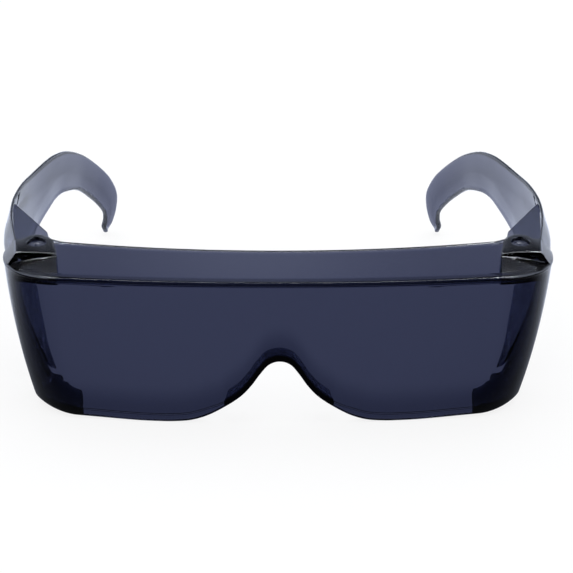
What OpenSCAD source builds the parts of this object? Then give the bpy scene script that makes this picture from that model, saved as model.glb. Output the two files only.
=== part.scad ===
// Fit-over sunglasses: a one-piece tinted shield with two folding temples on push-in pins.
// Millimetres. X runs across the face, Y from the front to the back of the head, Z up.
// The temple on +X is the wearer's left one. Z = 0 is the lowest edge of the shield.

/* [Overall size] */
// Width over the side walls at the hinges
front_w = 167.4; // [150:0.5:180]
// Height of the shield from its lowest edge to the front rib
lens_h = 49.9; // [44:0.1:58]
// Distance from the front rib to the rearmost point of the temples
temple_reach = 127; // [115:0.5:140]

/* [Shield] */
// Wall thickness of the lens and the side returns
lens_t = 2.4; // [1.8:0.1:3]
// Plan radius of the lens front
front_radius = 680; // [300:5:1200]
// Plan radius of the wrap at each side
corner_r = 19; // [14:0.5:22]
// How much narrower each side is at the lowest edge
side_lean = 6.2; // [3:0.1:12]
// How late the side walls turn inwards on the way down
lean_power = 2.1; // [1:0.05:3]
// How much further each side return turns inwards at its rear lower end
side_toe = 4.5; // [0:0.1:6]
// Height of the nose arch above the lowest edge
nose_rise = 22.3; // [16:0.1:28]
// Half width of the flange round the nose arch
nose_half = 16.2; // [12:0.1:24]
// Depth of the nose flange from the lens front
nose_flange = 8.4; // [5:0.1:12]
// Thickness of the nose and cheek flanges
flange_t = 1.4; // [1.2:0.1:2.4]
// Width of the cheek flange at each lower corner
cheek_w = 9.6; // [4:0.1:12]

/* [Brow shelf] */
// Depth of the shelf at the nose
shelf_depth = 15.8; // [10:0.1:22]
// Extra depth of the shelf where it meets the hinge housings
shelf_sweep = 5.5; // [0:0.1:8]
// Rise of the shelf from the front rib to its rear edge
shelf_rise = 2.2; // [0:0.1:4]
// How early the shelf rises behind the rib: 1 is a straight slope
shelf_crown = 0.75; // [0.6:0.05:1]
// Thickness of the shelf
shelf_t = 2; // [1.4:0.1:2.6]
// Height of the bead along the rear edge of the shelf
bead_h = 0.45; // [0:0.05:0.8]
// Height of the rib along the front edge
rib_h = 1.2; // [0.6:0.1:2]
// How far the rib stands proud of the lens
rib_out = 0.6; // [0.2:0.1:1.2]
// Fall of the front rib round each corner
corner_drop = 2; // [0:0.1:4]

/* [Hinge housings] */
// Distance of the pin from the outer side wall
pin_inset = 10.3; // [9:0.1:12]
// Distance of the pin behind the front rib
pin_y = 21; // [18:0.1:24]
// Diameter of the bores in the ears and the knuckle
bore_d = 3; // [2:0.1:3.6]
// Radial clearance of the pin in its bores
pin_gap = 0.05; // [0.02:0.01:0.1]
// Diameter of the recess over the pin
recess_d = 5.6; // [4.6:0.1:6.4]
// Depth of the recess over the pin head
recess_depth = 1; // [0.4:0.1:1.4]
// Thickness of the pin head
head_t = 0.8; // [0.5:0.1:1]
// Top of the housing above the front rib
plate_top = 2.6; // [2.2:0.1:4]
// Thickness of the upper ear
ear_t = 2.7; // [2.3:0.1:3.4]
// Thickness of the lower ear
low_ear_t = 1.8; // [1.6:0.1:3.2]
// Distance of the parting line behind the pin
parting_back = 2.2; // [1.8:0.1:2.6]
// Width of the ears on the inner side of the pin
ear_in = 6.6; // [6:0.1:7]
// Width of the ears' ring round the recess
ear_ring = 2.5; // [2.2:0.1:2.8]
// Radius of the temple knuckle
knuckle_r = 5; // [4.6:0.1:5.2]
// Gap between the knuckle and the wall of its room
room_gap = 0.4; // [0.3:0.05:0.6]
// Height of the temple knuckle
knuckle_h = 4.4; // [4:0.1:7]
// Running gap above and below the knuckle
knuckle_gap = 0.2; // [0.1:0.05:0.4]
// Width of the sloping shoulder outside the upper ear
shoulder_w = 4.5; // [3:0.1:6]
// Width of the shoulder at the parting line
shoulder_rear = 3.4; // [2.4:0.1:4.5]
// Height of the sloping shoulder
shoulder_h = 4.6; // [3:0.1:6]
// Distance from the front face of a housing to its rear face
housing_len = 9.2; // [8:0.1:10]
// Thickness of the front face of a housing
face_t = 1.6; // [1.2:0.1:2]
// Width of the post under the inner end of a housing
post_w = 4.6; // [3:0.1:7]

/* [Temples] */
// Wall thickness of the temples
temple_t = 1.8; // [1.4:0.1:2.4]
// Gap between a side return and its temple
part_gap = 0.5; // [0.3:0.1:1]
// Width of the flange along the top of the temple, at the knuckle
top_flange_w = 11.5; // [8:0.5:14]
// Length of the top flange behind the pin
top_flange_len = 31; // [20:0.5:40]
// Width of the lip along the lower edge
lip_w = 2; // [0.5:0.1:3]
// Extra thickness of the bead along the lower edge
bead_t = 1.1; // [0:0.1:1.5]
// Outward bulge of the side panel at its middle height
panel_bulge = 2.6; // [0:0.1:4]

/* [Hidden] */
half = front_w / 2;
side_end = pin_y + parting_back;
pin_x = half - pin_inset;
top_z = lens_h;
ear_low = top_z + plate_top - ear_t;
knuckle_top = ear_low - knuckle_gap;
knuckle_low = knuckle_top - knuckle_h;
low_ear_top = knuckle_low - knuckle_gap;
low_ear_low = low_ear_top - low_ear_t;
pin_d = bore_d - 2 * pin_gap;
head_d = recess_d - 2 * pin_gap;
ear_r = recess_d / 2 + ear_ring;
room_r = knuckle_r + room_gap;
// The part is drawn from its front rib, then moved so that the origin is under its middle
mid_y = (temple_reach - rib_out) / 2;
plastic = [0.20, 0.22, 0.32];
pin_plastic = [0.24, 0.26, 0.36];

// Lower edge of one lens lobe: [share of the half width, share of the nose rise]
lobe_edge = [
    [0, 1], [0.041, 0.945], [0.074, 0.79], [0.104, 0.62], [0.143, 0.45], [0.197, 0.295],
    [0.275, 0.125], [0.345, 0.035], [0.42, 0.004], [0.49, 0], [0.56, 0.004], [0.73, 0.033],
    [0.9, 0.055], [1.1, 0.08]
];

// Upper edge of one temple: [inset from the side wall, share of the reach, height over the rib],
// in millimetres for a frame 167.4 wide with a shield 49.9 high
drawn_w = 167.4;
drawn_h = 49.9;
temple_upper = [
    [0, 0, 2.2], [-1.3, 0.08, 2], [-1.9, 0.17, 1.9], [-1.3, 0.27, 1.7], [0.5, 0.385, 0.7],
    [2.7, 0.495, -1], [6.1, 0.615, -2.2], [8.5, 0.69, -3.5], [11.4, 0.775, -6.6],
    [15.5, 0.872, -12.8], [20.1, 0.946, -20.6], [23.8, 0.98, -26.7], [26.1, 0.9945, -33],
    [25.9, 0.9972, -39], [24.6, 0.993, -44.3], [22.7, 0.985, -47.6]
];
// Lower edge of one temple, station by station under the upper edge
temple_lower = [
    [10.6, 0.03, -46.6], [7.6, 0.09, -41.3], [5.1, 0.18, -37], [2.5, 0.27, -32.3], [0.8, 0.385, -28.1],
    [1.6, 0.495, -23.6], [5.3, 0.615, -20.4], [7.4, 0.685, -19.9], [9.7, 0.745, -21.1],
    [13.1, 0.84, -25.6], [17, 0.915, -33.1], [19.6, 0.95, -38.2], [20.9, 0.963, -41.2],
    [21, 0.965, -43.9], [20.4, 0.966, -46.4], [20.9, 0.969, -48.6]
];

function lerp(a, b, t) = a + (b - a) * t;
function clamp(t) = max(0, min(1, t));
function ease(t) = let (c = clamp(t)) c * c * (3 - 2 * c);
function unit(v) = v / norm(v);

// Smooth curve through the points p, at t between 0 and 1
function curve(p, t) =
    let (
        n = len(p) - 1,
        s = clamp(t) * n,
        i = min(floor(s), n - 1),
        f = s - i,
        a = p[max(i - 1, 0)],
        b = p[i],
        c = p[i + 1],
        d = p[min(i + 2, n)]
    )
    0.5 * (2 * b + (c - a) * f + (2 * a - 5 * b + 4 * c - d) * f * f
        + (3 * b - a - 3 * c + d) * f * f * f);

// Share of the nose rise at a share x of the half width
function lobe_slope(k) =
    let (a = lobe_edge[max(k - 1, 0)], b = lobe_edge[min(k + 1, len(lobe_edge) - 1)])
    k == 0 ? 0 : (b[1] - a[1]) / (b[0] - a[0]);
function lobe_at(x) =
    let (
        k = max([for (i = [0:len(lobe_edge) - 2]) if (lobe_edge[i][0] <= x) i]),
        a = lobe_edge[k],
        b = lobe_edge[k + 1],
        w = b[0] - a[0],
        f = (x - a[0]) / w
    )
    a[1] * (1 + 2 * f) * pow(1 - f, 2) + b[1] * f * f * (3 - 2 * f)
        + w * (lobe_slope(k) * f * pow(1 - f, 2) - lobe_slope(k + 1) * f * f * (1 - f));

function edge_z(x) = nose_rise * lobe_at(min(abs(x) / half, 1.05));
function lean(z) = side_lean * pow(clamp((top_z - z) / lens_h), lean_power);
function narrow(z) = 1 - lean(z) / half;
function toe(s, z) = side_toe * ease((s[4] - 0.6) / 0.4) * pow(clamp((top_z - z) / lens_h), 1.5);
function shelf_rear(x) = shelf_depth + shelf_sweep * pow(x / (half - corner_r), 2);

// Plan path of the shield: front, corner, side. Each station is [x, y, outward x, outward y, wrap]
corner_x = half - corner_r;
corner_y = front_radius - sqrt(pow(front_radius - corner_r, 2) - corner_x * corner_x);
start_a = -90 + asin(corner_x / (front_radius - corner_r));
front_n = 22;
corner_n = 8;
half_path = concat(
    [for (i = [0:front_n])
        let (x = corner_x * pow(i / front_n, 1.5))
        [x, front_radius - sqrt(front_radius * front_radius - x * x), 0, -1, 0]],
    [for (i = [1:corner_n])
        let (a = lerp(start_a, 0, i / corner_n))
        [corner_x + corner_r * cos(a), corner_y + corner_r * sin(a), cos(a), sin(a), i / corner_n]],
    [[half, side_end, 1, 0, 1.1]]
);

// Inner limit of the cheek flange beside a station
function cheek_depth(s) =
    lens_t + cheek_w * ease((s[0] - 0.77 * half) / (0.04 * half))
        - 1.4 * side_toe * ease((s[4] - 0.6) / 0.4);
function flange_depth(s) =
    s[4] > 0 || s[0] > 0.5 * half
        ? cheek_depth(s)
        : lerp(nose_flange, lens_t, ease((s[0] - nose_half) / 2));
function under_round(s) = lerp(0.8, 2.2, ease((s[0] - 0.8 * half) / (0.16 * half)));

// One closed section of the shield: outer points from the flange to the shelf edge, then inner points
function section(s) =
    let (
        slope = (edge_z(s[0] + 0.4) - edge_z(abs(s[0] - 0.4))) / 0.8,
        low = edge_z(s[0]),
        thick = min(flange_t * sqrt(1 + slope * slope), 3.4),
        deep = flange_depth(s),
        open = ease((deep - lens_t) / 2),
        r = min(under_round(s), deep - 0.5),
        fill = 0.3 + 1.2 * open,
        rib = top_z - corner_drop * ease(s[4]),
        rear = top_z + shelf_rise,
        proud = lerp(rib_out, 0.15, clamp(s[4])),
        rear_x = s[4] > 1 ? pin_x - 4 : lerp(min(s[0], corner_x), corner_x + 1, clamp(s[4])),
        rear_y = s[4] > 1 ? side_end : shelf_rear(min(rear_x, corner_x)),
        run = norm([rear_x - s[0], rear_y - s[1]]),
        web = [for (k = [1:6]) lerp(low + max(r, thick) + fill, rib - shelf_t - 1.6, k / 6)]
    )
    concat(
        // Under the flange and up the outside
        [wall(s, deep - 0.4, low)],
        [for (k = [1:2]) wall(s, lerp(deep - 0.4, r, k / 3), low)],
        [for (k = [0:3]) wall(s, r - r * sin(k * 30), low + r - r * cos(k * 30))],
        [for (z = web) wall(s, 0, z)],
        [wall(s, 0, rib - 0.7 * rib_h - 0.4), wall(s, -proud, rib - 0.7 * rib_h)],
        [wall(s, -proud, rib + 0.1), wall(s, -0.5 * proud, rib + 0.3 * rib_h)],
        // Over the shelf to its rear edge
        [for (k = [1:4]) shelf(s, rear_x, rear_y, k / 4 * (1 - 1.5 / run), rib, rear)],
        [shelf(s, rear_x, rear_y, 1 - 1.1 / run, rib, rear) + [0, 0, bead_h]],
        [shelf(s, rear_x, rear_y, 1 - 0.4 / run, rib, rear) + [0, 0, bead_h]],
        [shelf(s, rear_x, rear_y, 1, rib, rear) + [0, 0, -0.1]],
        // Back along the underside and down the inside
        [for (z = [-0.6, 0.5 - shelf_t]) shelf(s, rear_x, rear_y, 1, rib, rear) + [0, 0, z]],
        [shelf(s, rear_x, rear_y, 1 - 0.6 / run, rib, rear) - [0, 0, shelf_t]],
        [for (k = [6:-1:1])
            shelf(s, rear_x, rear_y, lerp((lens_t + 1.6) / run, 1 - 1.4 / run, k / 6), rib, rear)
                - [0, 0, shelf_t]],
        [wall(s, lens_t + 0.9, rib - shelf_t - 0.1), wall(s, lens_t + 0.25, rib - shelf_t - 0.6)],
        [wall(s, lens_t, rib - shelf_t - 1.3)],
        [for (k = [5:-1:0]) wall(s, lens_t, web[k])],
        [wall(s, lens_t + 0.25 * fill * open, low + thick + 0.4 * fill)],
        [wall(s, lens_t + fill * open, low + thick + 0.15)],
        [wall(s, lerp(lens_t, deep - 0.3, 0.6 * open), low + thick + 0.1 - 0.1 * open)],
        [wall(s, lerp(lens_t, deep - 0.3, open), low + thick - 0.05)],
        [wall(s, deep, low + thick - 0.3), wall(s, deep, low + 0.35)]
    );
// A point of the lens or side wall, n inwards from its outer face
function wall(s, n, z) = [(s[0] - n * s[2]) * narrow(z) - toe(s, z), s[1] - n * s[3], z];
// A point of the shelf, a share f of the way to its rear edge
function shelf(s, rx, ry, f, rib, rear) =
    [lerp(s[0], rx, f), lerp(s[1], ry, f), lerp(rib, rear, pow(f, shelf_crown))];

// Faces round a tube of closed sections, with its two ends closed by strips
function tube_faces(n, m) = concat(
    [for (i = [0:n - 2]) for (j = [0:m - 1])
        let (a = i * m + j, b = i * m + (j + 1) % m, c = a + m, d = b + m)
        each [[a, b, d], [a, d, c]]],
    strip(0, m, true),
    strip((n - 1) * m, m, false)
);
function strip(base, m, first) = [
    for (k = [0:m / 2 - 2])
        let (a = base + k, b = base + k + 1, c = base + m - 2 - k, d = base + m - 1 - k)
        each (first ? [[a, d, c], [a, c, b]] : [[a, b, c], [a, c, d]])
];

module shield_body() {
    right = [for (s = half_path) section(s)];
    left = [for (i = [len(right) - 1:-1:1]) [for (p = right[i]) [-p[0], p[1], p[2]]]];
    all = concat(left, right);
    polyhedron(
        points = [for (s = all) each s],
        faces = tube_faces(len(all), len(all[0])),
        convexity = 10
    );
}

// Inner and front limits of a housing, and the corner arc's outer line at a distance y
inner_x = pin_x - ear_in;
face_y = side_end - housing_len;
function side_x(y) = y < corner_y ? corner_x + sqrt(corner_r * corner_r - pow(corner_y - y, 2)) : half;
function side_wrap(y) = 1 - min(0, asin(clamp_sine((y - corner_y) / corner_r))) / start_a;
function clamp_sine(v) = max(-1, min(1, v));

// Upper ear seen from above, for the +X side
module plate_shape() {
    translate([pin_x, pin_y]) circle(r = ear_r, $fn = 64);
    polygon([
        [inner_x, face_y], [half - shoulder_w, face_y], [half - shoulder_rear, side_end],
        [pin_x, side_end], [pin_x - 0.98 * ear_r, pin_y], [inner_x, pin_y - 0.84 * ear_r]
    ]);
}

// One slice of the sloping shoulder, from the ear down to the top of the side wall
module shoulder_slice(y) {
    out = side_x(y) - 0.05;
    edge = half - lerp(shoulder_w, shoulder_rear, clamp((y - face_y) / housing_len));
    low = top_z - corner_drop * ease(side_wrap(y));
    translate([0, y, 0]) rotate([90, 0, 0]) linear_extrude(0.1)
        polygon([
            [half - shoulder_w - 0.5, top_z + plate_top], [edge, top_z + plate_top],
            [out, low], [out, low - 0.8], [out - 1.6, low - 0.8], [half - shoulder_w - 0.5, ear_low]
        ]);
}

// Shell of one hinge housing, for the +X side
module housing() {
    translate([0, 0, ear_low]) linear_extrude(ear_t) plate_shape();
    hull() {
        shoulder_slice(face_y + 0.1);
        shoulder_slice(0.5 * (face_y + corner_y));
        shoulder_slice(side_end);
    }
    // Front face over the shelf, and the post under its inner end
    translate([inner_x, face_y, top_z - 2.2]) cube([side_x(face_y) - 0.8 - inner_x, face_t, ear_low - top_z + 2.7]);
    translate([inner_x, face_y, low_ear_low]) cube([post_w, face_t, ear_low - low_ear_low]);
    // Cheek between the knuckle's room and the side wall
    translate([pin_x + room_r, face_y, low_ear_low])
        cube([side_x(face_y) - 1 - pin_x - room_r, housing_len - 0.6, ear_low - low_ear_low - 0.3]);
    // Lower ear
    translate([0, 0, low_ear_low]) linear_extrude(low_ear_t) {
        translate([pin_x, pin_y]) circle(r = ear_r, $fn = 64);
        polygon([
            [inner_x, face_y], [side_x(face_y) - 1, face_y], [half - 2, corner_y], [half - 2, side_end - 1],
            [pin_x, side_end - 1], [pin_x - 0.98 * ear_r, pin_y], [inner_x, pin_y - 0.84 * ear_r]
        ]);
    }
}

// Room for the knuckle between the ears
module knuckle_room() {
    translate([inner_x, face_y + face_t, low_ear_top])
        cube([pin_x + room_r - inner_x, housing_len + 3, ear_low - low_ear_top]);
}

module pin_holes() {
    translate([pin_x, pin_y, low_ear_low - 1]) cylinder(h = 20, d = bore_d, $fn = 64);
    translate([pin_x, pin_y, top_z + plate_top - recess_depth - head_t])
        cylinder(h = 5, d = recess_d, $fn = 64);
}

module front_shield() {
    color(plastic) translate([0, -mid_y, 0])
        difference() {
            union() {
                difference() {
                    shield_body();
                    knuckle_room();
                    mirror([1, 0, 0]) knuckle_room();
                }
                housing();
                mirror([1, 0, 0]) housing();
            }
            pin_holes();
            mirror([1, 0, 0]) pin_holes();
        }
}

// Where the front edge of a temple stands
temple_front = side_end + part_gap;
function temple_point(row) = [
    half - row[0] * front_w / drawn_w,
    lerp(temple_front, temple_reach, row[1]),
    top_z + row[2] * lens_h / drawn_h
];
upper_edge = [for (r = temple_upper) temple_point(r)];
lower_edge = [for (r = temple_lower) temple_point(r)];

// Outer face of the temple at t along it, h millimetres above its lower edge, or a share v of its height
function temple_face(t, v) =
    let (
        u = curve(upper_edge, t),
        w = curve(lower_edge, t),
        tall = norm(u - w),
        fade = 1 - ease(t / 0.3),
        p = lerp(w, u, v),
        over = clamp(1 - (1 - v) * tall / shoulder_h),
        under = clamp(1 - v * tall / 2.6),
        lip = lip_w * lerp(0.8, 0.25, ease(t / 0.6)) * (1 - ease((t - 0.7) / 0.2)),
        bulge = panel_bulge * 4 * v * (1 - v) * (1 - ease(t / 0.35))
    )
    p + [bulge - shoulder_rear * fade * over - lip * under * under, 0, 0];
function temple_normal(t, v) =
    let (
        da = temple_face(min(t + 0.006, 1), v) - temple_face(max(t - 0.006, 0), v),
        dv = temple_face(t, min(v + 0.03, 1)) - temple_face(t, max(v - 0.03, 0))
    )
    unit(cross(dv, da));
function temple_rows(t) =
    let (tall = norm(curve(upper_edge, t) - curve(lower_edge, t)), s = shoulder_h / tall)
    tall < 13
        ? [0, 0.09, 0.2, 0.35, 0.5, 0.65, 0.8, 0.91, 1]
        : [0, 0.6 / tall, 1.5 / tall, 2.8 / tall, 0.4, 0.7, 1 - s, 1 - 0.5 / tall, 1];
function temple_section(t) =
    let (
        rows = temple_rows(t),
        n = len(rows) - 1,
        tall = norm(curve(upper_edge, t) - curve(lower_edge, t)),
        bead = bead_t * max(1 - ease(t / 0.16), ease((t - 0.4) / 0.4)),
        thick = [for (v = rows) temple_t + bead * ease(1.6 - 0.8 * v * tall)],
        pull = [for (k = [0:n]) k == 0 || k == n ? 0.3 * temple_t : 0]
    )
    concat(
        [for (k = [0:n]) temple_face(t, rows[k]) + temple_normal(t, rows[k]) * pull[k]],
        [for (k = [n:-1:0]) temple_face(t, rows[k]) + temple_normal(t, rows[k]) * (thick[k] - pull[k])]
    );

module temple_blade() {
    steps = 44;
    all = [for (i = [0:steps]) temple_section(i / steps)];
    polyhedron(
        points = [for (s = all) each s],
        faces = tube_faces(len(all), len(all[0])),
        convexity = 10
    );
}

// Knuckle and top flange of the temple, for the +X side
module temple_hinge() {
    reach = half - temple_t - 0.8;
    difference() {
        union() {
            translate([0, 0, knuckle_low]) linear_extrude(knuckle_h) {
                translate([pin_x, pin_y]) circle(r = knuckle_r, $fn = 64);
                polygon([
                    [pin_x - knuckle_r, pin_y], [pin_x, pin_y - 1], [pin_x + knuckle_r, pin_y],
                    [pin_x + knuckle_r, temple_front],
                    [reach, temple_front + 0.6], [reach, pin_y + 8], [pin_x - 3, pin_y + 8]
                ]);
            }
            translate([0, 0, knuckle_top - 1.5]) linear_extrude(1.5)
                polygon([
                    [pin_x - 3, pin_y + 7], [reach, pin_y + 7], [half + 0.6, pin_y + top_flange_len],
                    [half + 0.1, pin_y + top_flange_len], [half - 0.7 - top_flange_w, pin_y + 11.5]
                ]);
        }
        translate([pin_x, pin_y, knuckle_low - 1]) cylinder(h = knuckle_h + 2, d = bore_d, $fn = 64);
    }
}

module temple() {
    translate([0, -mid_y, 0]) {
        temple_blade();
        temple_hinge();
    }
}

module temple_left() {
    color(plastic) temple();
}

module temple_right() {
    color(plastic) mirror([1, 0, 0]) temple();
}

// Headed pin, for the +X side, with a snap foot under the lower ear
module hinge_pin() {
    head_low = top_z + plate_top - recess_depth - head_t;
    translate([pin_x, pin_y - mid_y, 0]) {
        translate([0, 0, head_low]) cylinder(h = head_t, d = head_d, $fn = 64);
        translate([0, 0, low_ear_low - 0.8]) cylinder(h = head_low - low_ear_low + 1, d = pin_d, $fn = 64);
        translate([0, 0, low_ear_low - 0.9]) cylinder(h = 0.9, d1 = pin_d - 0.6, d2 = pin_d + 0.6, $fn = 64);
    }
}

module hinge_pin_left() {
    color(pin_plastic) hinge_pin();
}

module hinge_pin_right() {
    color(pin_plastic) mirror([1, 0, 0]) hinge_pin();
}

front_shield();
temple_left();
temple_right();
hinge_pin_left();
hinge_pin_right();
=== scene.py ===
"""Fit-over sunglasses: a one-piece tinted shield with two folding temples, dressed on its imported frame."""

import math
from collections import namedtuple

import bmesh
import bpy
from bpy.props import FloatProperty, PointerProperty, StringProperty
from mathutils import Matrix, Quaternion, Vector
from mathutils.bvhtree import BVHTree


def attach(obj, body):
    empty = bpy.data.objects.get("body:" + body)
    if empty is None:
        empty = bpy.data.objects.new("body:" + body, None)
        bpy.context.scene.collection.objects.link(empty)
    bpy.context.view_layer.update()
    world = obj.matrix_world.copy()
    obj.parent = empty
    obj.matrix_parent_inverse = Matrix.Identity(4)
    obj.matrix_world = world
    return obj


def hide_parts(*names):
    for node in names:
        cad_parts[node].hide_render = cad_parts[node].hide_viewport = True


bl_info = {
    "name": "Fit-over sunglasses",
    "version": (1, 0, 0),
    "blender": (4, 5, 0),
    "location": "View3D > Sidebar > Sunglasses",
    "description": "Builds a tinted shield with a brow shelf, two folding temples and their hinge pins",
    "category": "Add Mesh",
}

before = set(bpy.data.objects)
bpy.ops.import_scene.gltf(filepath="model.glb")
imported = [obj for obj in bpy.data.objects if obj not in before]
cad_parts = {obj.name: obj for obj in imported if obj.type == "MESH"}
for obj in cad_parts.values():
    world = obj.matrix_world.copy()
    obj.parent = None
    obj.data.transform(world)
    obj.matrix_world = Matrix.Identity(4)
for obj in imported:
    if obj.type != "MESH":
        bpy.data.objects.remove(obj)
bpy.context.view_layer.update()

MM = 0.001

# Faces that meet at more than this angle, in degrees, keep a sharp edge
SHARP = 32

# How strongly polycarbonate bends light
REFRACTION = 1.586

WHITE = (1, 1, 1, 1)

# A height over all of the part, in millimetres
ABOVE = 80

# A place on the shield's plan: position, outward direction, and how far round the corner it is:
# 0 on the lens, 1 where the straight side starts, 1.1 at the parting line
Station = namedtuple("Station", "x y out_x out_y wrap")

# Lower edge of one lens lobe: share of the half width, share of the nose rise
LOBE_EDGE = (
    (0, 1), (0.041, 0.945), (0.074, 0.79), (0.104, 0.62), (0.143, 0.45), (0.197, 0.295),
    (0.275, 0.125), (0.345, 0.035), (0.42, 0.004), (0.49, 0), (0.56, 0.004), (0.73, 0.033),
    (0.9, 0.055), (1.1, 0.08),
)

# Upper edge of one temple: inset from the side wall, share of the reach, height over the rib,
# in millimetres for a shield with this half width and height
DRAWN_HALF = 83.7
DRAWN_HEIGHT = 49.9
TEMPLE_UPPER = (
    (0, 0, 2.2), (-1.3, 0.08, 2), (-1.9, 0.17, 1.9), (-1.3, 0.27, 1.7), (0.5, 0.385, 0.7),
    (2.7, 0.495, -1), (6.1, 0.615, -2.2), (8.5, 0.69, -3.5), (11.4, 0.775, -6.6),
    (15.5, 0.872, -12.8), (20.1, 0.946, -20.6), (23.8, 0.98, -26.7), (26.1, 0.9945, -33),
    (25.9, 0.9972, -39), (24.6, 0.993, -44.3), (22.7, 0.985, -47.6),
)

# Lower edge of one temple, station by station under the upper edge
TEMPLE_LOWER = (
    (10.6, 0.03, -46.6), (7.6, 0.09, -41.3), (5.1, 0.18, -37), (2.5, 0.27, -32.3), (0.8, 0.385, -28.1),
    (1.6, 0.495, -23.6), (5.3, 0.615, -20.4), (7.4, 0.685, -19.9), (9.7, 0.745, -21.1),
    (13.1, 0.84, -25.6), (17, 0.915, -33.1), (19.6, 0.95, -38.2), (20.9, 0.963, -41.2),
    (21, 0.965, -43.9), (20.4, 0.966, -46.4), (20.9, 0.969, -48.6),
)

# Rounded upper end of the housings' sloping shoulder, from the slope's upper line and the plate's top
SHOULDER_EDGE = ((-4, 3), (-4, 0.5), (-1.2, 0.02), (-0.3, -0.2), (0.25, -0.7))

# Rounded tip of a temple: share of the last section's size, millimetres behind it
TIP_ROUND = ((0.88, 0.35), (0.62, 0.7), (0.3, 0.9))


def length(name, text, millimetres):
    """A size property, shown in the scene's unit and kept in metres."""
    return FloatProperty(name=name, description=text, default=millimetres * MM, unit="LENGTH", precision=5)


def angle(name, text, degrees):
    """An angle property, shown in degrees."""
    radians = math.radians(degrees)
    return FloatProperty(name=name, description=text, default=radians, subtype="ANGLE", precision=3)


def share(name, text, value):
    """A plain number property from 0 up."""
    return FloatProperty(name=name, description=text, default=value, min=0, precision=4)


class SunglassesShieldSizes(bpy.types.PropertyGroup):
    """Sizes of the one-piece shield"""

    width: length("Width", "Over the side walls at the hinges", 167.4)
    height: length("Height", "From the lowest edge to the front rib", 49.9)
    wall: length("Wall", "Thickness of lens and side returns", 2.4)
    foot_wall: length("Extra wall", "Extra thickness at the lens's lowest edge", 0.4)
    front_radius: length("Front radius", "Plan radius of the lens front", 680)
    corner_radius: length("Corner radius", "Plan radius of the wrap at each side", 19)
    side_lean: length("Side lean", "How much narrower each side is at its foot", 6.2)
    lean_power: share("Lean power", "How late the sides turn inwards", 2.1)
    side_toe: length("Side toe", "How far each side's lower rear end turns in", 4.5)
    nose_rise: length("Nose rise", "Height of the nose arch over the lowest edge", 22.3)
    nose_half: length("Nose half width", "Half width of the nose flange", 16.2)
    nose_flange: length("Nose flange", "Depth of the nose flange", 8.4)
    nose_wall: length("Nose flange wall", "Thickness of the nose flange", 0.95)
    flange_wall: length("Cheek flange wall", "Thickness of the cheek flanges", 2)
    cheek_width: length("Cheek flange", "Width of the flange at each lower corner", 9.6)
    shelf_depth: length("Shelf depth", "Depth of the brow shelf at the nose", 15.8)
    shelf_sweep: length("Shelf sweep", "Extra depth of the shelf at the hinges", 5.5)
    shelf_rise: length("Shelf rise", "Rise of the shelf towards its rear edge", 2.2)
    shelf_crown: share("Shelf crown", "How early the shelf rises", 0.75)
    shelf_wall: length("Shelf wall", "Thickness of the shelf", 2)
    shelf_hollow: length("Shelf hollow", "How much thinner the shelf is over the nose", 0.13)
    hollow_half: length("Hollow half width", "Half width over which the shelf is thinner", 62)
    bead: length("Bead", "Height of the bead on the shelf's rear edge", 0.45)
    rib_height: length("Rib height", "Height of the rib on the front edge", 1.2)
    rib_out: length("Rib depth", "How far the rib stands proud of the lens", 0.6)
    corner_drop: length("Corner drop", "Fall of the rib round each corner", 2)


class SunglassesHingeSizes(bpy.types.PropertyGroup):
    """Sizes of the hinge housings, knuckles and pins"""

    pin_inset: length("Pin inset", "From the side wall to the pin", 10.3)
    pin_back: length("Pin distance", "From the front rib to the pin", 21)
    parting_back: length("Parting distance", "From the pin to the parting line", 2.2)
    bore: length("Bore", "Diameter of the bores", 3)
    pin_gap: length("Pin gap", "Radial clearance of the pin", 0.05)
    recess: length("Recess", "Diameter of the recess over the pin", 5.6)
    recess_depth: length("Recess depth", "Depth of the recess over the pin head", 1)
    head: length("Pin head", "Thickness of the pin head", 0.8)
    plate_top: length("Plate top", "Top of the housing over the front rib", 2.6)
    ear: length("Upper ear", "Thickness of the upper ear", 2.7)
    low_ear: length("Lower ear", "Thickness of the lower ear", 1.8)
    knuckle: length("Knuckle", "Height of the temple knuckle", 4.4)
    knuckle_radius: length("Knuckle radius", "Radius of the knuckle round the pin", 5)
    knuckle_gap: length("Knuckle gap", "Running gap over and under the knuckle", 0.2)
    room_gap: length("Room gap", "Between the knuckle and the outer wall of its room", 0.4)
    ear_in: length("Inner side", "From the pin to the housing's inner side", 6.6)
    ear_ring: length("Ear ring", "Wall of the ears behind the recess", 2.5)
    ear_notch: length("Ear notch", "From the pin forward to where the ears' inner side ends", 4.4)
    face_wall: length("Front wall", "Thickness of the housing's front wall", 1.6)
    shoulder_width: length("Shoulder width", "Width of the sloping shoulder", 4.5)
    shoulder_rear: length("Shoulder rear width", "Width of the shoulder at the parting line", 3.4)
    shoulder_height: length("Shoulder height", "Height of the sloping shoulder", 4.6)
    length: length("Housing length", "From its front face to its rear face", 9.2)
    post: length("Post width", "Width of the post under the housing's inner end", 4.6)
    edge_round: length("Edge rounding", "Radius on the housings' edges", 0.9)
    crown: length("Crown", "Fall of the plate towards both ends", 0.7)


class SunglassesTempleSizes(bpy.types.PropertyGroup):
    """Sizes of the two temples"""

    reach: length("Reach", "From the front rib to the rearmost point", 127)
    wall: length("Wall", "Mean thickness of the temples", 1.8)
    front_share: share("Front share", "Share of the wall at the parting line", 0.6)
    rear_share: share("Rear share", "Share of the wall behind the bend", 1.28)
    part_gap: length("Parting gap", "Between a side return and its temple", 0.5)
    flange_width: length("Top flange width", "Width of the flange along the top", 11.5)
    flange_length: length("Top flange length", "Length of the flange behind the pin", 31)
    flange_wall: length("Top flange wall", "Thickness of the top flange", 1.35)
    lip: length("Lip", "Width of the lip along the lower edge", 2)
    bead: length("Lower bead", "Extra thickness along the lower edge", 1.1)
    bulge: length("Bulge", "Outward bulge of the side panel", 2.6)


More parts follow.
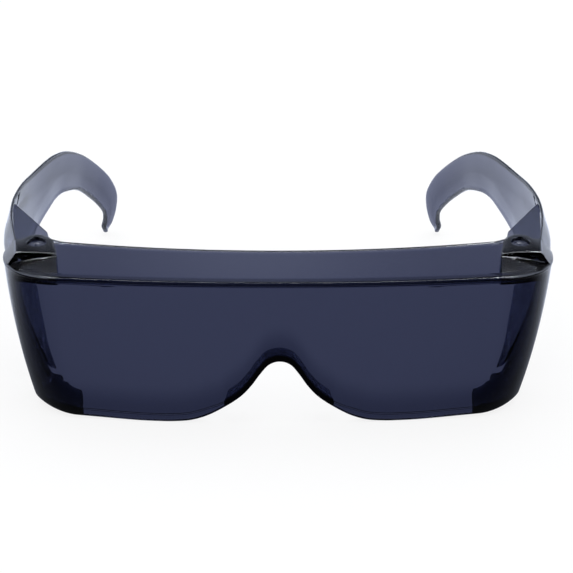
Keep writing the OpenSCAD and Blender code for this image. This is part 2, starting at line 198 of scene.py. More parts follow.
class SunglassesFinish(bpy.types.PropertyGroup):
    """Colours and surface of the plastic"""

    tint: StringProperty(name="Tint", description="Colour that the plastic lets through", default="#003D8A")
    density: share("Tint depth", "Absorption for each metre", 1285)
    roughness: share("Roughness", "Roughness of the polish", 0.02)
    land_roughness: share("Land roughness", "Roughness of the shelf in front of each housing", 0.17)
    pin_colour: StringProperty(name="Pin colour", description="Colour of the pins", default="#1E2338")
    pin_roughness: share("Pin roughness", "Roughness of the pins", 0.3)


class SunglassesStageSettings(bpy.types.PropertyGroup):
    """Camera, floor and light"""

    distance: length("Camera distance", "From the camera to the front rib", 499.9)
    elevation: angle("Elevation", "Height of the camera over the horizon", 29.98)
    azimuth: angle("Azimuth", "How far right of the middle the camera stands", -1.7)
    roll: angle("Roll", "Turn of the camera about its line of sight", 0.89)
    focal: share("Focal length", "Millimetres on a 36 mm sensor", 107)
    aim_right: length("Aim right", "How far right of the rib the camera aims", 1.66)
    aim_down: length("Aim down", "How far below the rib the camera aims", 0.86)
    overhead: share("Overhead light", "Watts of the softbox over the glasses", 9)
    strips: share("Strip lights", "Watts of the softbox at each side", 7)


def sizes(group):
    """The lengths of a property group in millimetres, and its other values as they are."""
    out = {}
    for key in group.__annotations__:
        value = getattr(group, key)
        is_length = group.bl_rna.properties[key].unit == "LENGTH"
        out[key] = value / MM if is_length else value
    return out


def middle_y():
    """How far the part's middle lies behind the front rib, in millimetres."""
    scene = bpy.context.scene
    return (scene.sunglasses_temple.reach / MM - scene.sunglasses_shield.rib_out / MM) / 2


def lerp(a, b, t):
    """The value at a share t of the way from a to b."""
    return a + (b - a) * t


def clamp(t):
    """The nearest value to t from 0 to 1."""
    return max(0.0, min(1.0, t))


def ease(t):
    """A smooth step from 0 to 1."""
    c = clamp(t)
    return c * c * (3 - 2 * c)


def curve(points, t):
    """Smooth curve through the points, at t between 0 and 1."""
    n = len(points) - 1
    s = clamp(t) * n
    i = min(int(s), n - 1)
    f = s - i
    a = Vector(points[max(i - 1, 0)])
    b = Vector(points[i])
    c = Vector(points[i + 1])
    d = Vector(points[min(i + 2, n)])
    bend = 2 * a - 5 * b + 4 * c - d
    twist = 3 * b - a - 3 * c + d
    return 0.5 * (2 * b + (c - a) * f + bend * f * f + twist * f * f * f)


def lobe_slope(k):
    """Slope of the lobe's edge at one of its points."""
    if k == 0:
        return 0
    a = LOBE_EDGE[k - 1]
    b = LOBE_EDGE[min(k + 1, len(LOBE_EDGE) - 1)]
    return (b[1] - a[1]) / (b[0] - a[0])


def lobe_at(x):
    """Share of the nose rise at a share x of the half width."""
    k = max(i for i in range(len(LOBE_EDGE) - 1) if LOBE_EDGE[i][0] <= x)
    a = LOBE_EDGE[k]
    b = LOBE_EDGE[k + 1]
    w = b[0] - a[0]
    f = (x - a[0]) / w
    return (
        a[1] * (1 + 2 * f) * (1 - f) ** 2
        + b[1] * f * f * (3 - 2 * f)
        + w * (lobe_slope(k) * f * (1 - f) ** 2 - lobe_slope(k + 1) * f * f * (1 - f))
    )


class Shield:
    """The swept wall of the shield and its hinge levels, in millimetres from the front rib's middle."""

    def __init__(self, scene):
        shield = self.s = sizes(scene.sunglasses_shield)
        hinge = self.h = sizes(scene.sunglasses_hinge)
        self.half = shield["width"] / 2
        self.top = shield["height"]
        self.side_end = hinge["pin_back"] + hinge["parting_back"]
        self.housing_front = self.side_end - hinge["length"]
        self.pin_x = self.half - hinge["pin_inset"]
        self.inner = self.pin_x - hinge["ear_in"]
        self.room_out = self.pin_x + hinge["knuckle_radius"] + hinge["room_gap"]
        self.plate_top = self.top + hinge["plate_top"]
        self.ear_low = self.plate_top - hinge["ear"]
        self.low_ear_top = self.ear_low - hinge["knuckle"] - 2 * hinge["knuckle_gap"]
        self.low_ear_low = self.low_ear_top - hinge["low_ear"]
        self.corner_x = self.half - shield["corner_radius"]
        reach = shield["front_radius"] - shield["corner_radius"]
        self.centre_y = shield["front_radius"] - math.sqrt(reach**2 - self.corner_x**2)
        self.first = math.degrees(math.asin(self.corner_x / reach)) - 90

    def edge(self, x):
        """Height of the lower edge at x."""
        return self.s["nose_rise"] * max(0, lobe_at(min(abs(x) / self.half, 1.05)))

    def narrow(self, z):
        """Share of the full width that is left at the height z."""
        low = clamp((self.top - z) / self.top)
        return 1 - self.s["side_lean"] * low ** self.s["lean_power"] / self.half

    def path(self, front_steps, corner_steps, side_steps):
        """Stations of the wearer's left half, from the nose to the parting line."""
        big = self.s["front_radius"]
        small = self.s["corner_radius"]
        out = []
        for i in range(front_steps + 1):
            x = self.corner_x * (i / front_steps) ** 1.35
            out.append(Station(x, big - math.sqrt(big * big - x * x), 0, -1, 0))
        for i in range(1, corner_steps + 1):
            a = math.radians(lerp(self.first, 0, i / corner_steps))
            x = self.corner_x + small * math.cos(a)
            y = self.centre_y + small * math.sin(a)
            out.append(Station(x, y, math.cos(a), math.sin(a), i / corner_steps))
        for i in range(1, side_steps + 1):
            y = lerp(self.centre_y, self.side_end, i / side_steps)
            out.append(Station(self.half, y, 1, 0, 1 + 0.1 * i / side_steps))
        return out

    def rim(self, y):
        """Outer line of the side wall at y, and how far its top lies under the front rib."""
        drop = self.s["corner_drop"]
        if y >= self.centre_y:
            return self.half, -drop
        small = self.s["corner_radius"]
        a = math.degrees(math.asin((y - self.centre_y) / small))
        return self.corner_x + small * math.cos(math.radians(a)), -drop * ease(1 - a / self.first)

    def flange_depth(self, st):
        """Depth of the lower edge's flange from the outer face: at the nose, and at each cheek."""
        s = self.s
        if st.wrap > 0 or st.x > 0.5 * self.half:
            cheek = s["cheek_width"] * ease((st.x / self.half - 0.77) / 0.04)
            return s["wall"] + cheek - 1.4 * s["side_toe"] * ease((st.wrap - 0.6) / 0.4)
        return lerp(s["nose_flange"], s["wall"], ease((st.x - s["nose_half"]) / 2))

    def wall(self, st, n, z):
        """A point at the height z, n millimetres inside the outer face."""
        low = clamp((self.top - z) / self.top)
        toe = self.s["side_toe"] * ease((st.wrap - 0.6) / 0.4) * low**1.5
        return Vector(((st.x - n * st.out_x) * self.narrow(z) - toe, st.y - n * st.out_y, z))

    def rear_edge(self, st):
        """Plan position of the shelf's rear edge that belongs to a station."""
        s = self.s
        straight = clamp((st.wrap - 1) / 0.1)
        x = lerp(min(st.x, self.corner_x), self.corner_x + 1, clamp(st.wrap))
        x = lerp(x, self.pin_x - 4, straight)
        y = s["shelf_depth"] + s["shelf_sweep"] * (min(x, self.corner_x) / self.corner_x) ** 2
        return x, lerp(y, self.side_end, straight)

    def section(self, st):
        """One closed section: up the outside, over the shelf, back under it and down the inside."""
        s = self.s
        wall = s["wall"]
        foot = s["foot_wall"]
        low = self.edge(st.x)
        slope = (self.edge(st.x + 0.4) - self.edge(abs(st.x - 0.4))) / 0.8
        flange_wall = lerp(s["nose_wall"], s["flange_wall"], ease((st.x - s["nose_half"]) / 10))
        thick = min(flange_wall * math.sqrt(1 + slope * slope), 3.4)
        deep = max(self.flange_depth(st), wall + 0.95 * foot)
        opened = ease((deep - wall) / 2)
        round_r = min(lerp(0.8, 2.2, ease((st.x / self.half - 0.8) / 0.16)), deep - 0.5)
        fill = 0.3 + 1.2 * opened
        rib = self.top - s["corner_drop"] * ease(st.wrap)
        proud = lerp(s["rib_out"], 0.15, clamp(st.wrap))
        rear_x, rear_y = self.rear_edge(st)
        rear = self.top + s["shelf_rise"]
        run = math.hypot(rear_x - st.x, rear_y - st.y)
        shelf_t = s["shelf_wall"] - s["shelf_hollow"] * (1 - ease(st.x / s["hollow_half"]))

        def shelf(back, dz):
            """A point of the shelf, back millimetres in front of its rear edge."""
            f = 1 - back / run
            rise = max(0, f) ** s["shelf_crown"]
            return Vector((lerp(st.x, rear_x, f), lerp(st.y, rear_y, f), lerp(rib, rear, rise) + dz))

        # Rounded end of the flange, its underside, and the rounding below the outer face
        tip = 0.45
        ends = disc(deep - tip, low + tip, tip, 3, -40, -90)
        ends += [(lerp(deep - tip, round_r, k / 5), low) for k in range(1, 5)]
        ends += disc(round_r, low + round_r, round_r, 7, 270, 180)
        pts = [self.wall(st, n, z) for n, z in ends]

        # Outer face and front rib
        web_low = low + max(round_r, thick) + fill
        web_high = rib - 0.7 * s["rib_height"] - 0.35
        pts += [self.wall(st, 0, lerp(low + round_r, web_high, k / 26)) for k in range(1, 27)]
        rib_mid = rib - 0.2 * s["rib_height"]
        rib_half = 0.5 * s["rib_height"]
        for k in range(9):
            a = math.radians(lerp(-82, 75, k / 8))
            pts.append(self.wall(st, -proud * math.cos(a) - 0.02, rib_mid + rib_half * math.sin(a)))

        # Top of the shelf, bead, rounded rear edge and underside
        pts += [shelf(lerp(run - 0.9, 1.6, k / 12), 0) for k in range(13)]
        for k in range(8):
            a = math.radians(lerp(160, 20, k / 7))
            pts.append(shelf(0.75 - 0.7 * math.cos(a), s["bead"] * math.sin(a)))
        pts += [shelf(0, -0.15), shelf(-0.02, -0.5)]
        for back, up in ((0, 0.6), (0.08, 0.3), (0.3, 0.08), (0.7, 0)):
            pts.append(shelf(back, up - shelf_t))
        pts += [shelf(lerp(1.5, run - wall - 1.2, k / 12), -shelf_t) for k in range(13)]

        # Fillet between shelf and lens, and the inner face, thicker towards its foot
        fillet = 1.1
        under = rib - shelf_t
        turn = disc(wall + fillet, under - fillet, fillet, 5, 90, 180)[1:5]
        pts += [self.wall(st, n, z) for n, z in turn]
        for k in range(27):
            z = lerp(under - 1.3, web_low, k / 26)
            pts.append(self.wall(st, wall + foot * ease(1 - (z - web_low) / 11), z))

        # Fillet between the inner face and the flange, and the flange's upper side
        drop = lerp(0.12, fill, opened)
        for k in range(1, 5):
            a = math.radians(lerp(180, 270, k / 5))
            n = wall + foot * (1 - k / 5) + opened * fill * (1 + math.cos(a))
            pts.append(self.wall(st, n, low + thick + 0.15 + drop * (1 + math.sin(a))))
        inner = wall + fill * opened
        outer = lerp(wall, deep - 0.5, opened)
        for k in range(5):
            n = lerp(inner, outer, k / 4 * opened)
            pts.append(self.wall(st, n, low + thick + 0.12 - 0.03 * k))
        pts.append(self.wall(st, lerp(wall, deep - 0.2, opened), low + thick - 0.12))
        return pts + [self.wall(st, deep - 0.02, low + thick - 0.45), self.wall(st, deep, low + 0.6)]

    def sections(self):
        """All sections, from the wearer's right parting line to the left one."""
        left = [self.section(st) for st in self.path(96, 40, 4)]
        right = [[Vector((-p.x, p.y, p.z)) for p in sec] for sec in left[:0:-1]]
        return right + left


class Temple:
    """The bent blade of the wearer's left temple, in millimetres from the front rib's middle."""

    def __init__(self, wall, temple):
        self.t = temple
        self.half = wall.half
        self.top = wall.top
        self.front = wall.side_end + temple["part_gap"]
        self.shoulder = (wall.h["shoulder_rear"], wall.h["shoulder_height"])
        self.upper = [self.place(row) for row in TEMPLE_UPPER]
        self.lower = [self.place(row) for row in TEMPLE_LOWER]

    def place(self, row):
        """A point of an edge table, fitted to this shield and reach."""
        inset = row[0] * self.half / DRAWN_HALF
        height = self.top * (1 + row[2] / DRAWN_HEIGHT)
        return (self.half - inset, lerp(self.front, self.t["reach"], row[1]), height)

    def face(self, t, v):
        """A point of the outer face at t along the temple and a share v up its height."""
        u = curve(self.upper, t)
        w = curve(self.lower, t)
        tall = (u - w).length
        fade = 1 - ease(t / 0.3)
        over = clamp(1 - (1 - v) * tall / self.shoulder[1])
        under = clamp(1 - v * tall / 2.6)
        lip = self.t["lip"] * lerp(0.8, 0.25, ease(t / 0.6)) * (1 - ease((t - 0.7) / 0.2))
        bulge = self.t["bulge"] * 4 * v * (1 - v) * (1 - ease(t / 0.35))
        p = w.lerp(u, v)
        p.x += bulge - self.shoulder[0] * fade * over - lip * under * under
        return p

    def normal(self, t, v):
        """Direction from the outer face into the blade."""
        da = self.face(min(t + 0.006, 1), v) - self.face(max(t - 0.006, 0), v)
        dv = self.face(t, min(v + 0.02, 1)) - self.face(t, max(v - 0.02, 0))
        return dv.cross(da).normalized()

    def rows(self, tall):
        """Shares of the height at which a section has points: close together at both edges."""
        lip = [0, 0.04, 0.15, 0.38, 0.7, 1.1, 1.6, 2.1, 2.6, 3.4]
        high = self.shoulder[1]
        shoulder = [high + 0.35, high - 0.35, 0.7 * high, 0.48 * high, 1.4, 0.8, 0.38, 0.15, 0.04, 0]
        scale = min(1, tall / 13)
        out = [h * scale / tall for h in lip]
        first = out[-1]
        last = 1 - shoulder[0] * scale / tall
        out += [lerp(first, last, k / 13) for k in range(1, 13)]
        out += [1 - h * scale / tall for h in shoulder]
        return out

    def section(self, t):
        """One closed section: up the outer face and down the inner one."""
        tall = (curve(self.upper, t) - curve(self.lower, t)).length
        wall = self.t["wall"] * lerp(self.t["front_share"], self.t["rear_share"], ease(t / 0.6))
        wall *= lerp(1, 0.8, ease((t - 0.95) / 0.05))
        bead = self.t["bead"] * max(1 - ease(t / 0.16), ease((t - 0.4) / 0.4))
        outer = []
        inner = []
        for v in self.rows(tall):
            p = self.face(t, v)
            n = self.normal(t, v)
            edge = min(v, 1 - v) * tall
            thin = lerp(0.7, 1, clamp(edge / 8)) * wall + bead * ease(1.6 - 0.8 * v * tall)
            pull = 0.45 * thin * (1 - math.sqrt(1 - (1 - clamp(2 * edge / thin)) ** 2))
            outer.append(p + n * pull)
            inner.append(p + n * (thin - pull))
        return outer + inner[::-1]

    def sections(self):
        """All sections from the parting line to the rounded tip."""
        steps = 170
        out = [self.section(i / steps) for i in range(steps + 1)]
        last = out[-1]
        middle = sum(last, Vector()) / len(last)
        along = (middle - sum(out[-2], Vector()) / len(last)).normalized()
        for shrink, on in TIP_ROUND:
            out.append([middle + (p - middle) * shrink + along * on for p in last])
        return out


def tube(name, sections):
    """A closed mesh round a row of closed sections given in millimetres."""
    bm = bmesh.new()
    middle = middle_y()
    rings = []
    for section in sections:
        rings.append([bm.verts.new((x * MM, (y - middle) * MM, z * MM)) for x, y, z in section])
    join(bm, rings)
    return keep(name, bm)


def join(bm, rings):
    """Faces from each ring of vertices to the next, and over the first and the last ring."""
    n = len(rings[0])
    for a, b in zip(rings, rings[1:]):
        for j in range(n):
            bm.faces.new((a[j], a[(j + 1) % n], b[(j + 1) % n], b[j]))
    bm.faces.new(rings[0][::-1])
    bm.faces.new(rings[-1])


def keep(name, bm):
    """Makes the mesh in bm an object in the scene, its faces turned outwards."""
    bmesh.ops.recalc_face_normals(bm, faces=bm.faces)
    mesh = bpy.data.meshes.new(name)
    bm.to_mesh(mesh)
    bm.free()
    ob = bpy.data.objects.new(name, mesh)
    bpy.context.scene.collection.objects.link(ob)
    return ob


def prism(name, outline, low, high, round_mm=0, crown=0):
    """A closed solid on an outline in millimetres, its top rounded and falling to both ends if asked."""
    bm = bmesh.new()
    middle = middle_y()
    join(bm, [[bm.verts.new((x, y - middle, z)) for x, y in outline] for z in (low, high)])
    bmesh.ops.recalc_face_normals(bm, faces=bm.faces)
    near = 0.01
    if round_mm:
        edges = [e for e in bm.edges if min(v.co.z for v in e.verts) > high - near]
        bmesh.ops.bevel(bm, geom=edges, offset=round_mm, segments=4, profile=0.5, affect="EDGES")
    if crown:
        first = min(x for x, _ in outline)
        last = max(x for x, _ in outline)
        cuts = 24
        for k in range(1, cuts):
            place = (lerp(first, last, k / cuts), 0, 0)
            every = bm.verts[:] + bm.edges[:] + bm.faces[:]
            bmesh.ops.bisect_plane(bm, geom=every, plane_co=place, plane_no=(1, 0, 0))
        for v in bm.verts:
            if v.co.z > high - round_mm - near:
                v.co.z -= crown_fall(crown, v.co.x, first, last)
    bmesh.ops.scale(bm, vec=(MM, MM, MM), verts=bm.verts)
    return keep(name, bm)


def crown_fall(crown, x, first, last):
    """How far a crowned top has fallen at x, from none in the middle to crown at both ends."""
    return crown * abs(2 * (x - first) / (last - first) - 1) ** 2.5


def turned(name, profile, cx, cy, steps=64):
    """A closed solid of revolution: profile rows are a radius and a height in millimetres."""
    rings = [[(x, y, z) for x, y in disc(cx, cy, radius, steps)] for radius, z in profile]
    return tube(name, rings)


def disc(cx, cy, radius, steps=64, start=0, end=360):
    """Points of a circle, or of an arc with angles in degrees."""
    out = []
    for i in range(steps if end - start >= 360 else steps + 1):
        a = math.radians(lerp(start, end, i / steps))
        out.append((cx + radius * math.cos(a), cy + radius * math.sin(a)))
    return out


def box(x0, y0, x1, y1):
    """Corners of a rectangle in plan."""
    return [(x0, y0), (x1, y0), (x1, y1), (x0, y1)]


def combine(body, tool, operation="UNION"):
    """Joins a closed solid to body, or cuts with it, and removes the tool."""
    mod = body.modifiers.new("combine", "BOOLEAN")
    mod.operation = operation
    mod.solver = "MANIFOLD"
    mod.object = tool
    bpy.context.view_layer.update()
    evaluated = body.evaluated_get(bpy.context.evaluated_depsgraph_get())
    mesh = bpy.data.meshes.new_from_object(evaluated)
    body.modifiers.remove(mod)
    old = body.data
    body.data = mesh
    mesh.name = old.name
    bpy.data.meshes.remove(old)
    bpy.data.objects.remove(tool)


def mirrored(ob, name):
    """A copy of ob on the other side of the middle plane."""
    mesh = ob.data.copy()
    mesh.name = name
    mesh.transform(Matrix.Scale(-1, 4, (1, 0, 0)))
    mesh.flip_normals()
    other = bpy.data.objects.new(name, mesh)
    bpy.context.scene.collection.objects.link(other)
    return other


def finish_piece(ob, material, body, *nodes, slot="tinted_plastic"):
    """Smooth shading with its true edges kept, the plastic, and the body that the piece rides on."""
    ob.data.materials.clear()
    ob.data.materials.append(material)
    ob.data.polygons.foreach_set("use_smooth", [True] * len(ob.data.polygons))
    ob.data.set_sharp_from_angle(angle=math.radians(SHARP))
    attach(ob, body)
    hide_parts(*nodes)


def hex_to_linear(text):
    """An sRGB hex colour as linear RGB, with an alpha of 1."""
    out = []
    for i in (1, 3, 5):
        c = int(text[i : i + 2], 16) / 255
        out.append(c / 12.92 if c <= 0.04045 else ((c + 0.055) / 1.055) ** 2.4)
    return (*out, 1)


def add(tree, kind, feeds=(), **settings):
    """Adds a node with its settings and links.

    Each of the feeds is what an input gets and the input's name or number. It is a plain value,
    an output, or a node that stands for its first output.
    """
    node = tree.nodes.new(kind)
    for key, value in settings.items():
        if key in node.inputs:
            node.inputs[key].default_value = value
        else:
            setattr(node, key, value)
    for source, socket in feeds:
        if isinstance(source, bpy.types.Node):
            source = source.outputs[0]
        if isinstance(source, bpy.types.NodeSocket):
            tree.links.new(source, node.inputs[socket])
        else:
            node.inputs[socket].default_value = source
    return node


def moulded_skin(tree, surface, roughness, satin=None):
    """What a mould leaves on a polished face: a slow ripple and an uneven gloss.

    satin is None, or where a face is satin instead and how rough it is there.
    """
    place = [(add(tree, "ShaderNodeTexCoord").outputs["Object"], "Vector")]
    ripple = add(tree, "ShaderNodeTexNoise", place, Scale=1 / (9 * MM), Detail=1.0, Roughness=0.4)
    grain = add(tree, "ShaderNodeTexNoise", place, Scale=1 / (1.4 * MM), Detail=3.0, Roughness=0.6)
    spread = [(grain.outputs["Fac"], "Value"), (0.35, "From Min"), (0.75, "From Max")]
    spread += [(0.6 * roughness, "To Min"), (2.2 * roughness, "To Max")]
    gloss = add(tree, "ShaderNodeMapRange", spread)
    if satin:
        land, rough = satin
        blend = [(land, "Factor"), (gloss, "A"), (rough, "B")]
        gloss = add(tree, "ShaderNodeMix", blend, data_type="FLOAT")
    height = [(ripple.outputs["Fac"], "Height")]
    bump = add(tree, "ShaderNodeBump", height, Strength=1.0, Distance=0.012 * MM)
    tree.links.new(gloss.outputs[0], surface.inputs["Roughness"])
    tree.links.new(bump.outputs["Normal"], surface.inputs["Normal"])


def hinge_land(tree, inner, front):
    """A share of 1 on the upward faces in front of each hinge housing, and 0 elsewhere."""
    whole = add(tree, "ShaderNodeTexCoord").outputs["Object"]
    place = add(tree, "ShaderNodeSeparateXYZ", [(whole, 0)]).outputs
    side = add(tree, "ShaderNodeMath", [(place["X"], 0)], operation="ABSOLUTE")
    slant = 0.11
    line = [(place["Y"], 0), (slant, 1), (inner - slant * front, 2)]
    limit = add(tree, "ShaderNodeMath", line, operation="MULTIPLY_ADD")
    outside = add(tree, "ShaderNodeMath", [(side, 0), (limit, 1)], operation="GREATER_THAN")
    before = add(tree, "ShaderNodeMath", [(place["Y"], 0), (front, 1)], operation="LESS_THAN")
    normal = add(tree, "ShaderNodeNewGeometry").outputs["Normal"]
    up = add(tree, "ShaderNodeSeparateXYZ", [(normal, 0)]).outputs["Z"]
    upward = add(tree, "ShaderNodeMapRange", [(up, "Value"), (0.3, "From Min"), (0.5, "From Max")])
    both = add(tree, "ShaderNodeMath", [(outside, 0), (before, 1)], operation="MULTIPLY")
    return add(tree, "ShaderNodeMath", [(both, 0), (upward, 1)], operation="MULTIPLY")


def empty_tree(block):
    """Turns on the nodes of a material or a world and empties their tree."""
    block.use_nodes = True
    block.node_tree.nodes.clear()
    return block.node_tree


def new_finish(name, colour):
    """A material, its node tree and a Principled shader that refracts like polycarbonate."""
    mat = bpy.data.materials.new(name)
    tree = empty_tree(mat)
    surface = add(tree, "ShaderNodeBsdfPrincipled", IOR=REFRACTION)
    surface.inputs["Base Color"].default_value = colour
    return mat, tree, surface


def tinted_polycarbonate():
    """Injection-moulded tinted polycarbonate: clear, glossy, and darker the more of it light crosses."""
    name = "injection-moulded tinted polycarbonate"
    if name in bpy.data.materials:
        return bpy.data.materials[name]
    scene = bpy.context.scene
    finish = scene.sunglasses_finish
    hinge = scene.sunglasses_hinge
    mat, tree, surface = new_finish(name, WHITE)
    surface.inputs["Transmission Weight"].default_value = 1
    inner = scene.sunglasses_shield.width / 2 - hinge.pin_inset - hinge.ear_in
    front = hinge.pin_back + hinge.parting_back - hinge.length - middle_y() * MM
    land = hinge_land(tree, inner, front - 0.5 * MM)
    moulded_skin(tree, surface, finish.roughness, (land, finish.land_roughness))
    tint = hex_to_linear(finish.tint)
    volume = add(tree, "ShaderNodeVolumeAbsorption", Color=tint, Density=finish.density)
    add(tree, "ShaderNodeOutputMaterial", [(surface, "Surface"), (volume, "Volume")])
    return mat


def dark_polycarbonate():
    """Solid dark plastic of the pins: deep blue-grey with a softer gloss than the lens."""
    finish = bpy.context.scene.sunglasses_finish
    mat, tree, surface = new_finish("moulded dark pin plastic", hex_to_linear(finish.pin_colour))
    moulded_skin(tree, surface, finish.pin_roughness)
    add(tree, "ShaderNodeOutputMaterial", [(surface, "Surface")])
    return mat


def knuckle_room(wall, side):
    """Plan of the room for one knuckle."""
    front = wall.housing_front + wall.h["face_wall"]
    return [(x * side, y) for x, y in box(wall.inner, front, wall.room_out, wall.side_end + 5)]


def surface_heights(ob):
    """A function that gives the height of ob's upper face at x, y, in millimetres."""
    tree = BVHTree.FromObject(ob, bpy.context.evaluated_depsgraph_get())
    middle = middle_y()

    def height(x, y):
        hit = tree.ray_cast(Vector((x * MM, (y - middle) * MM, 1)), Vector((0, 0, -1)))[0]
        return hit.z / MM

    return height


def planed(wall, start):
    """What is planed off over the wearer's left shoulder, from start to behind the housing."""
    h = wall.h
    slices = []
    for k in range(13):
        y = lerp(start, wall.side_end + 1, k / 12)
        back = clamp(1 - (wall.side_end - y) / h["length"])
        slope_x = wall.half - lerp(h["shoulder_width"], h["shoulder_rear"], back)
        out, low = wall.rim(y)
        foot = wall.top + low
        edge = [(slope_x + dx, wall.plate_top + dz) for dx, dz in SHOULDER_EDGE]
        edge += [(out, foot), (out + 3, foot - 3), (out + 3, wall.plate_top + 3)]
        slices.append([Vector((x, y, z)) for x, z in edge])
    return tube("planed", slices)


def side_plan(wall, front, inset):
    """Plan of all that lies behind the lens and inside the side wall, on the wearer's left."""
    end = wall.side_end
    plan = [(0, front - 2)]
    plan += [(st.x - inset, st.y) for st in wall.path(4, 24, 2)[4:] if st.y > front - 2]
    outer = wall.half - inset
    return plan + [(outer, end + 0.1), (outer, end + 6), (0, end + 6)]


def hinge_housing(wall, height):
    """The wearer's left hinge housing: crowned plate, shoulder, front face, post, cheek and lower ear."""
    h = wall.h
    top = wall.top
    end = wall.side_end
    front = wall.housing_front
    back = front + h["face_wall"]
    px = wall.pin_x
    py = h["pin_back"]
    half = wall.half
    outer = half - 0.5
    inner = wall.inner
    room = wall.room_out
    ear_low = wall.ear_low
    lowest = wall.low_ear_low
    radius = h["recess"] / 2 + h["ear_ring"]
    notch = py - h["ear_notch"]

    plate = [(inner, front), (outer, front), (outer, end), (half - h["shoulder_rear"], end)]
    plate += [*disc(px, py, radius, 40, 32, 180), (inner, notch)]
    ob = prism("housing_left", plate, ear_low, wall.plate_top, h["edge_round"], h["crown"])

    # Flank and front face, with the shoulder planed off down to the top of the side wall
    combine(ob, prism("flank", box(room, front, half + 1, end), top - 3.4, ear_low + 1.2))
    face = box(inner, front, wall.rim(front)[0] - 0.8, back)
    combine(ob, prism("face", face, top - 2.2, ear_low + 0.5))
    combine(ob, planed(wall, front - 1), "DIFFERENCE")

    # Lower ear, post and cheek, kept inside the side wall
    ear = [(inner, front), (half, front), (half, end - 1), (px + radius, end - 1)]
    ear += [*disc(px, py, radius, 40, 10, 180), (inner, notch)]
    base = prism("ear", ear, lowest, wall.low_ear_top)
    post = box(inner, front, inner + h["post"], back)
    combine(base, prism("post", post, lowest, top))
    cheek = box(room, front, half, end - 0.6)
    combine(base, prism("cheek", cheek, lowest, ear_low - 0.9))
    combine(base, prism("plan", side_plan(wall, front, 1), 0, ABOVE), "INTERSECT")
    combine(ob, base)

    # Fillet where the front face stands on the shelf, larger towards the inner end
    rows = []
    for k in range(17):
        x = lerp(inner + 0.1, half - 3.6, k / 16)
        edge = wall.plate_top - crown_fall(h["crown"], x, inner, outer) - 0.45
        r = min(lerp(1.2, 0.4, ease(k / 10)), max(edge - height(x, front - 0.4), 0.3))
        z = height(x, front - r)
        row = [(x, front + 0.6, z - 0.5), (x, front - r, z - 0.5)]
        for turn in range(0, 91, 15):
            a = math.radians(turn)
            row.append((x, front - r + r * math.sin(a) + 0.01, z + r - r * math.cos(a) + 0.01))
        rows.append(row + [(x, front + 0.6, z + r + 0.02)])
    combine(ob, tube("foot", rows))
    combine(ob, prism("plan", side_plan(wall, front, 0.03), 0, ABOVE), "INTERSECT")
    return ob


class SUNGLASSES_OT_shield(bpy.types.Operator):
    """Build the shield with its brow shelf, flanges and hinge housings"""

    bl_idname = "sunglasses.shield"
    bl_label = "Shield"

    def execute(self, context):
        wall = Shield(context.scene)
        h = wall.h
        ob = tube("shield", wall.sections())
        cut = planed(wall, wall.housing_front)
        other_cut = mirrored(cut, "planed_right")
        combine(ob, cut, "DIFFERENCE")
        combine(ob, other_cut, "DIFFERENCE")
        left = hinge_housing(wall, surface_heights(ob))
        right = mirrored(left, "housing_right")
        for side in (1, -1):
            room = prism("room", knuckle_room(wall, side), wall.low_ear_top, wall.ear_low)
            combine(ob, room, "DIFFERENCE")
        for housing in (left, right):
            combine(ob, housing)

        # A bore and a flared recess for each pin, both cut up through the plate's top
        radius = h["bore"] / 2
        bore = [(radius, 20), (radius, ABOVE)]
        rim = h["recess"] / 2
        lip = wall.plate_top - 0.3
        recess = [(rim, wall.plate_top - h["recess_depth"] - h["head"]), (rim, lip)]
        recess += [(rim + 0.06, lip + 0.15), (rim + 0.35, lip + 0.4), (rim + 0.35, ABOVE)]
        for side in (1, -1):
            for profile in (bore, recess):
                hole = turned("hole", profile, side * wall.pin_x, h["pin_back"])
                combine(ob, hole, "DIFFERENCE")
        finish_piece(ob, tinted_polycarbonate(), "front", "front_shield")
        return {"FINISHED"}


class SUNGLASSES_OT_temples(bpy.types.Operator):
    """Build both temples with their knuckles and top flanges"""

    bl_idname = "sunglasses.temples"
    bl_label = "Temples"

    def execute(self, context):
        wall = Shield(context.scene)
        h = wall.h
        t = sizes(context.scene.sunglasses_temple)
        blade = Temple(wall, t)
        ob = tube("temple_blade_left", blade.sections())
        half = wall.half
        front = blade.front
        px = wall.pin_x
        py = h["pin_back"]
        radius = h["knuckle_radius"]
        inside = half - t["wall"] - 0.8
        top = wall.ear_low - h["knuckle_gap"]
        low = top - h["knuckle"]

        # Knuckle round the pin, the flange behind it, and the bore
        knuckle = disc(px, py, radius, 48, 180, 360)
        knuckle += [(px + radius, front), (inside, front + 0.6), (inside, py + 8), (px - 3, py + 8)]
        combine(ob, prism("knuckle", knuckle, low, top))
        rear = py + t["flange_length"]
        flange = [(px - 3, py + 7), (inside, py + 7), (half + 0.6, rear), (half + 0.1, rear)]
        flange.append((half - 0.7 - t["flange_width"], py + 11.5))
        combine(ob, prism("flange", flange, top - t["flange_wall"], top))
        bore = disc(px, py, h["bore"] / 2, 48)
        combine(ob, prism("bore", bore, low - 1, top + 1), "DIFFERENCE")
        other = mirrored(ob, "temple_blade_right")
        plastic = tinted_polycarbonate()
        finish_piece(ob, plastic, "temple_left", "temple_left")
        finish_piece(other, plastic, "temple_right", "temple_right")
        return {"FINISHED"}


